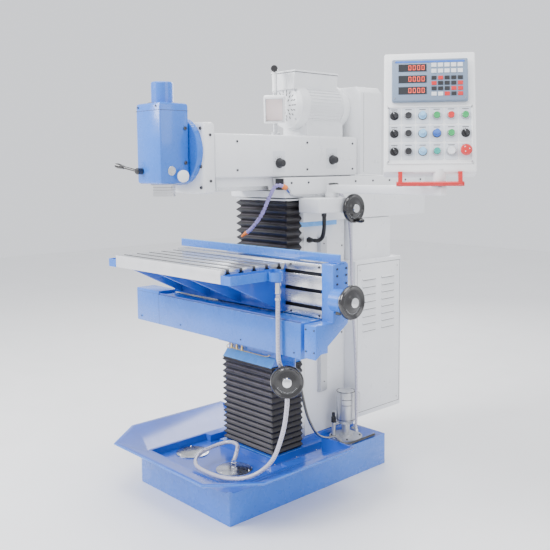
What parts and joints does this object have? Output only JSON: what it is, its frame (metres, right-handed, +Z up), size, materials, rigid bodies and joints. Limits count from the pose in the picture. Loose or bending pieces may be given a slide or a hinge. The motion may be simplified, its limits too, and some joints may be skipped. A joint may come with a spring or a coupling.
{
  "type": "vertical milling machine",
  "caption": "Knee-type tool-room milling machine with a swivelling vertical head on a sliding ram, slotted angle table, coolant tray and a swinging control panel.",
  "frame": {"origin": "centre of the base's underside, on the floor", "axes": "+Z up, +X to the operator's right along the table's travel, -Y towards the operator"},
  "size_m": [1.406, 1.5665, 1.7887],
  "materials": {
    "blue_paint": "satin hammered enamel",
    "white_paint": "satin enamel",
    "cast_ways": "ground and scraped",
    "ground_steel": "ground",
    "alloy": "silver paint",
    "bellows_rubber": "matt folded",
    "hose_clear": "clear braided",
    "black_gloss": "moulded phenolic",
    "readout_face": "satin",
    "lamp_white": "satin",
    "dark": "moulded",
    "green": "moulded",
    "teal": "moulded",
    "red": "moulded",
    "knob_blue": "moulded",
    "knob_light": "moulded",
    "button_white": "moulded"
  },
  "bodies": {
    "base": {"base_tank": "blue_paint", "suction_cover": "ground_steel", "drain_cover": "ground_steel", "column": "white_paint", "guide_housing": "white_paint", "electric_cabinet": "white_paint", "coolant_pump": "alloy", "feed_gearbox": "white_paint", "lower_bellows": "bellows_rubber", "upper_bellows": "bellows_rubber", "lower_hose": "hose_clear", "power_cable": "black_gloss"},
    "knee": {"knee": "blue_paint"},
    "x_slide": {"vertical_table": "cast_ways", "angle_table": "cast_ways", "right_trough": "blue_paint", "left_trough": "blue_paint", "chip_guard": "blue_paint", "apron_beam": "blue_paint", "end_bracket": "blue_paint", "x_feed_hub": "ground_steel", "upper_hose": "hose_clear"},
    "x_handwheel": {"x_handwheel": "black_gloss"},
    "y_handwheel": {"y_handwheel": "black_gloss"},
    "z_handwheel": {"z_handwheel": "black_gloss"},
    "ram": {"ram": "white_paint", "swivel_flange": "white_paint", "belt_cover": "white_paint", "drive_motor": "white_paint"},
    "speed_knob": {"speed_knob": "black_gloss"},
    "gear_knob": {"gear_knob": "black_gloss"},
    "head": {"head_housing": "blue_paint"},
    "quill": {"quill": "ground_steel"},
    "spindle": {"spindle": "ground_steel"},
    "quill_lever": {"quill_lever": "black_gloss"},
    "lamp_mast": {"lamp_mast": "ground_steel"},
    "lamp_arm": {"lamp_arm": "lamp_white"},
    "lamp_head": {"lamp_head": "lamp_white"},
    "panel_arm": {"panel_arm": "white_paint"},
    "panel": {"panel_box": "white_paint", "readout": "readout_face", "panel_handle": "ground_steel"},
    "selector_door_mode": {"selector_door_mode": "black_gloss"},
    "button_coolant": {"button_coolant": "dark"},
    "knob_speed": {"knob_speed": "knob_light"},
    "button_start": {"button_start": "green"},
    "button_halt": {"button_halt": "red"},
    "button_cycle": {"button_cycle": "green"},
    "selector_lamp_switch": {"selector_lamp_switch": "black_gloss"},
    "button_lubricate": {"button_lubricate": "dark"},
    "knob_feed": {"knob_feed": "knob_light"},
    "knob_rapid": {"knob_rapid": "knob_blue"},
    "button_spindle_on": {"button_spindle_on": "green"},
    "selector_axis": {"selector_axis": "black_gloss"},
    "selector_power": {"selector_power": "black_gloss"},
    "button_clamp": {"button_clamp": "dark"},
    "knob_jog": {"knob_jog": "knob_light"},
    "button_reset": {"button_reset": "teal"},
    "big_brake": {"big_brake": "button_white"},
    "stop_emergency": {"stop_emergency": "red"}
  },
  "joints": [
    {"name": "knee_slide", "type": "slide", "parent": "base", "child": "knee", "axis": [0, 0, 1], "range_m": [-0.22, 0.12], "deforming": ["lower_bellows", "upper_bellows", "lower_hose", "power_cable"]},
    {"name": "table_slide", "type": "slide", "parent": "knee", "child": "x_slide", "axis": [1, 0, 0], "range_m": [-0.28, 0.1], "deforming": ["upper_hose"]},
    {"name": "ram_slide", "type": "slide", "parent": "base", "child": "ram", "axis": [0, 1, 0], "range_m": [0, 0.3]},
    {"name": "x_turn", "type": "hinge", "parent": "x_slide", "child": "x_handwheel", "pos_m": [0.69, -0.21, 0.88], "axis": [1, 0, 0], "range_deg": [-20250, 7290]},
    {"name": "y_turn", "type": "hinge", "parent": "base", "child": "y_handwheel", "pos_m": [0.3065, 0.235, 1.179], "axis": [1, 0, 0], "range_deg": [-90, 21690]},
    {"name": "z_turn", "type": "hinge", "parent": "knee", "child": "z_handwheel", "pos_m": [0.47, -0.317, 0.57], "axis": [0.7071, -0.7071, 0], "range_deg": [-15930, 8730]},
    {"name": "head_swivel", "type": "hinge", "parent": "ram", "child": "head", "pos_m": [0, -0.4503, 1.42], "axis": [0, 1, 0], "range_deg": [-45, 45]},
    {"name": "quill_slide", "type": "slide", "parent": "head", "child": "quill", "axis": [0, 0, -1], "range_m": [0, 0.08]},
    {"name": "spindle_spin", "type": "hinge", "parent": "quill", "child": "spindle", "pos_m": [0, -0.515, 1.248], "axis": [0, 0, -1], "continuous": true},
    {"name": "quill_lever_turn", "type": "hinge", "parent": "head", "child": "quill_lever", "pos_m": [-0.045, -0.5853, 1.345], "axis": [0, -1, 0], "range_deg": [0, 60]},
    {"name": "speed_knob_turn", "type": "hinge", "parent": "ram", "child": "speed_knob", "pos_m": [0.1353, -0.035, 1.372], "axis": [1, 0, 0], "range_deg": [-90, 90]},
    {"name": "gear_knob_turn", "type": "hinge", "parent": "ram", "child": "gear_knob", "pos_m": [0.1353, 0.285, 1.385], "axis": [1, 0, 0], "range_deg": [-90, 90]},
    {"name": "lamp_mast_turn", "type": "hinge", "parent": "ram", "child": "lamp_mast", "pos_m": [0, 0.07, 1.4883], "axis": [0, 0, 1], "range_deg": [-90, 0]},
    {"name": "lamp_arm_turn", "type": "hinge", "parent": "lamp_mast", "child": "lamp_arm", "pos_m": [0, 0.07, 1.772], "axis": [0.7071, -0.7071, 0], "range_deg": [-60, 5]},
    {"name": "lamp_head_turn", "type": "hinge", "parent": "lamp_arm", "child": "lamp_head", "pos_m": [0.045, 0.025, 1.66], "axis": [0.7071, -0.7071, 0], "range_deg": [-45, 5]},
    {"name": "panel_arm_turn", "type": "hinge", "parent": "base", "child": "panel_arm", "pos_m": [0.205, 0.21, 1.262], "axis": [0, 0, 1], "range_deg": [-35, 45]},
    {"name": "panel_turn", "type": "hinge", "parent": "panel_arm", "child": "panel", "pos_m": [0.755, 0.21, 1.28], "axis": [0, 0, 1], "range_deg": [-30, 60]},
    {"name": "selector_door_mode_turn", "type": "hinge", "parent": "panel", "child": "selector_door_mode", "pos_m": [0.59829, 0.13656, 1.54534], "axis": [0.6044, -0.7411, 0.2924], "range_deg": [-30, 60]},
    {"name": "button_coolant_press", "type": "slide", "parent": "panel", "child": "button_coolant", "axis": [-0.6044, 0.7411, -0.2924], "range_m": [0, 0.004], "stiffness_N_per_m": 800, "springref_m": -0.001},
    {"name": "knob_speed_turn", "type": "hinge", "parent": "panel", "child": "knob_speed", "pos_m": [0.68044, 0.20355, 1.54534], "axis": [0.6044, -0.7411, 0.2924], "range_deg": [-135, 135]},
    {"name": "button_start_press", "type": "slide", "parent": "panel", "child": "button_start", "axis": [-0.6044, 0.7411, -0.2924], "range_m": [0, 0.004], "stiffness_N_per_m": 800, "springref_m": -0.001},
    {"name": "button_halt_press", "type": "slide", "parent": "panel", "child": "button_halt", "axis": [-0.6044, 0.7411, -0.2924], "range_m": [0, 0.004], "stiffness_N_per_m": 800, "springref_m": -0.001},
    {"name": "button_cycle_press", "type": "slide", "parent": "panel", "child": "button_cycle", "axis": [-0.6044, 0.7411, -0.2924], "range_m": [0, 0.004], "stiffness_N_per_m": 800, "springref_m": -0.001},
    {"name": "selector_lamp_switch_turn", "type": "hinge", "parent": "panel", "child": "selector_lamp_switch", "pos_m": [0.61141, 0.12047, 1.47745], "axis": [0.6044, -0.7411, 0.2924], "range_deg": [-30, 60]},
    {"name": "button_lubricate_press", "type": "slide", "parent": "panel", "child": "button_lubricate", "axis": [-0.6044, 0.7411, -0.2924], "range_m": [0, 0.004], "stiffness_N_per_m": 800, "springref_m": -0.001},
    {"name": "knob_feed_turn", "type": "hinge", "parent": "panel", "child": "knob_feed", "pos_m": [0.69356, 0.18747, 1.47745], "axis": [0.6044, -0.7411, 0.2924], "range_deg": [-135, 135]},
    {"name": "knob_rapid_turn", "type": "hinge", "parent": "panel", "child": "knob_rapid", "pos_m": [0.73463, 0.22096, 1.47745], "axis": [0.6044, -0.7411, 0.2924], "range_deg": [-135, 135]},
    {"name": "button_spindle_on_press", "type": "slide", "parent": "panel", "child": "button_spindle_on", "axis": [-0.6044, 0.7411, -0.2924], "range_m": [0, 0.004], "stiffness_N_per_m": 800, "springref_m": -0.001},
    {"name": "selector_axis_turn", "type": "hinge", "parent": "panel", "child": "selector_axis", "pos_m": [0.81677, 0.28796, 1.47745], "axis": [0.6044, -0.7411, 0.2924], "range_deg": [-30, 60]},
    {"name": "selector_power_turn", "type": "hinge", "parent": "panel", "child": "selector_power", "pos_m": [0.62453, 0.10439, 1.40955], "axis": [0.6044, -0.7411, 0.2924], "range_deg": [-30, 60]},
    {"name": "button_clamp_press", "type": "slide", "parent": "panel", "child": "button_clamp", "axis": [-0.6044, 0.7411, -0.2924], "range_m": [0, 0.004], "stiffness_N_per_m": 800, "springref_m": -0.001},
    {"name": "knob_jog_turn", "type": "hinge", "parent": "panel", "child": "knob_jog", "pos_m": [0.70668, 0.17138, 1.40955], "axis": [0.6044, -0.7411, 0.2924], "range_deg": [-135, 135]},
    {"name": "button_reset_press", "type": "slide", "parent": "panel", "child": "button_reset", "axis": [-0.6044, 0.7411, -0.2924], "range_m": [0, 0.004], "stiffness_N_per_m": 800, "springref_m": -0.001},
    {"name": "big_brake_press", "type": "slide", "parent": "panel", "child": "big_brake", "axis": [-0.6044, 0.7411, -0.2924], "range_m": [0, 0.004], "stiffness_N_per_m": 800, "springref_m": -0.001},
    {"name": "stop_emergency_press", "type": "slide", "parent": "panel", "child": "stop_emergency", "axis": [-0.6044, 0.7411, -0.2924], "range_m": [0, 0.004]}
  ],
  "couplings": [
    {"joint": "x_turn", "follows": "table_slide", "rad_per_m": 1256.6},
    {"joint": "y_turn", "follows": "ram_slide", "rad_per_m": 1256.6},
    {"joint": "z_turn", "follows": "knee_slide", "rad_per_m": 1256.6}
  ]
}
